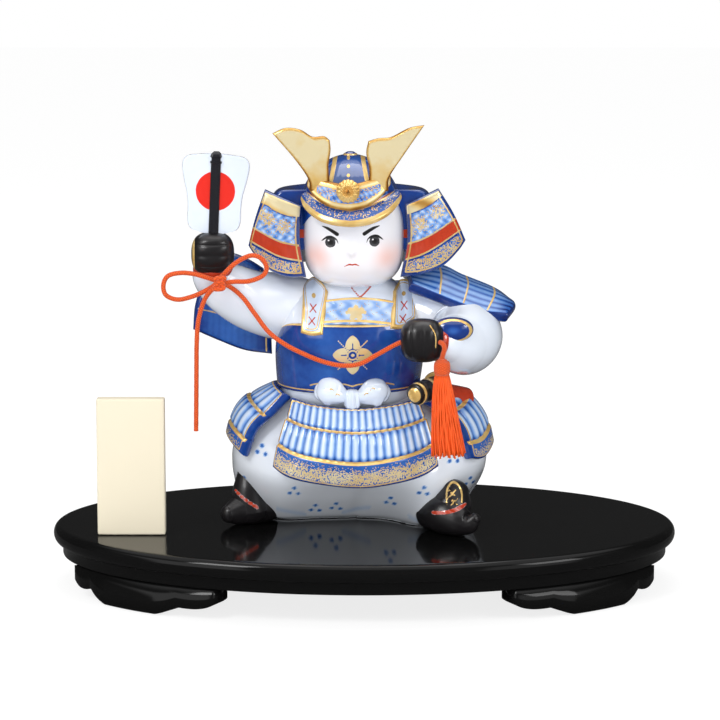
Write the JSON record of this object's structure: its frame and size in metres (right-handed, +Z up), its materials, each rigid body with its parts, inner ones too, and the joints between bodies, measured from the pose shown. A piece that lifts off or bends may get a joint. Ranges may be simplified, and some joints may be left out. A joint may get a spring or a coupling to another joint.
{
  "type": "samurai doll",
  "caption": "Seated porcelain warrior boy doll with horned helmet, raised war fan, braided cord and tassel, on an oval footed lacquer stand with a small blank board.",
  "frame": {"origin": "on the surface that the stand's feet rest on, under the middle of the object's box without the cord and tassel", "axes": "+Z up, -Y the way the doll faces, +X towards the doll's left hand"},
  "size_m": [0.3156, 0.1836, 0.2346],
  "materials": {
    "porcelain": "glazed porcelain, white with cobalt, pale blue, red and gold overglaze",
    "fan_white": "smooth glossy white with a plain red disc",
    "black_stick": "satin black",
    "cord_red": "vermilion braided cord and threads",
    "lacquer": "mirror-gloss black lacquer on wood",
    "pale_wood": "pale cream wood, satin"
  },
  "bodies": {
    "root": {"figure": "porcelain", "fan_blade": "fan_white", "fan_shaft": "black_stick", "cord": "cord_red", "cord_knot": "cord_red", "tassel_head": "cord_red", "tassel_skirt": "cord_red", "stand_top": "lacquer", "foot_front_left": "lacquer", "foot_front_right": "lacquer", "foot_back_left": "lacquer", "foot_back_right": "lacquer", "plaque": "pale_wood"}
  },
  "joints": []
}
